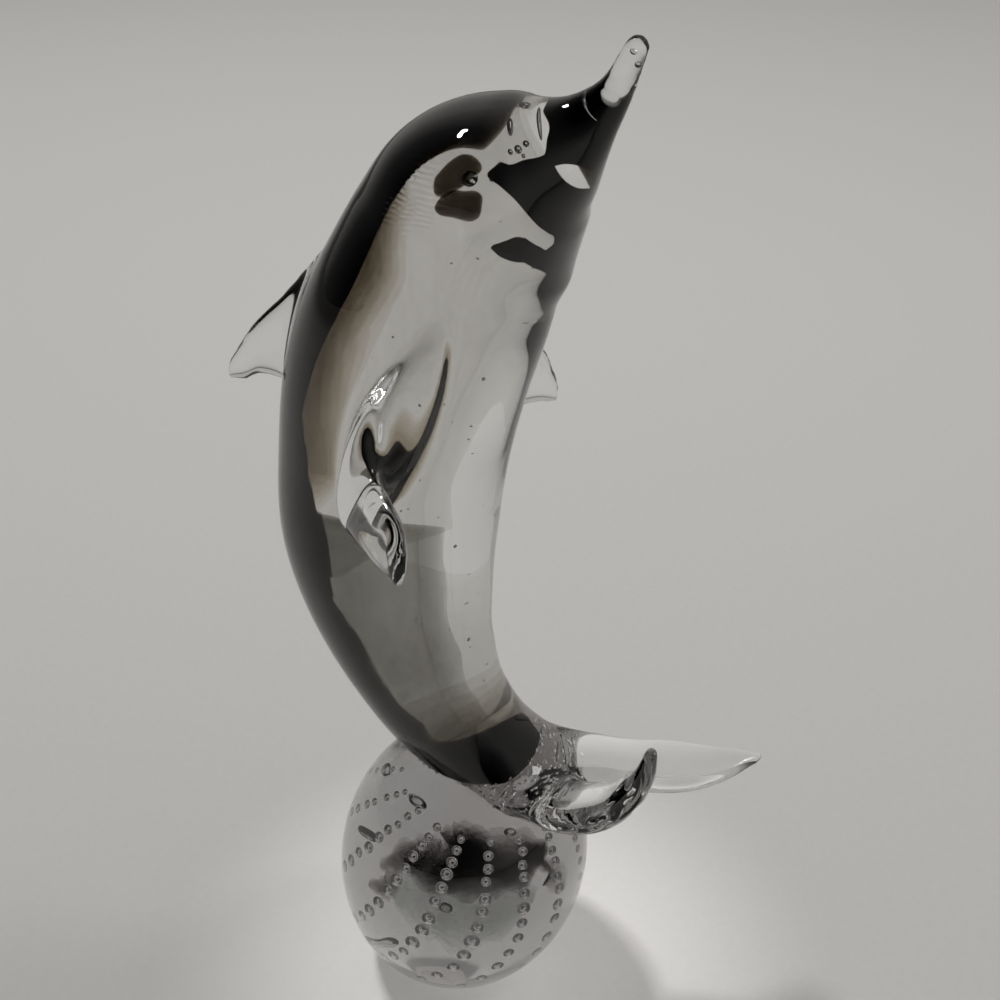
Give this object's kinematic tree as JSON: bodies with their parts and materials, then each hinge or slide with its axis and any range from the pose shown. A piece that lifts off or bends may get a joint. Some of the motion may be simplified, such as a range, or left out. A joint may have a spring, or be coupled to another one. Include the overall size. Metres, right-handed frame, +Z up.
{
  "type": "glass dolphin figurine",
  "caption": "Solid glass dolphin leaping upright off a leaning clear glass ball filled with rows of air bubbles.",
  "frame": {"origin": "middle of the flat foot ground on the underside of the ball", "axes": "+Z up towards the beak, +X forward, the way the belly faces and the flukes point, +Y towards the dolphin's left side"},
  "size_m": [0.1588, 0.1214, 0.3047],
  "materials": {
    "dolphin_glass": "polished clear glass over a smoky grey core",
    "ball_glass": "polished clear glass with rows of trapped air bubbles"
  },
  "bodies": {
    "root": {"dolphin": "dolphin_glass", "bubble_ball_base": "ball_glass"}
  },
  "joints": []
}
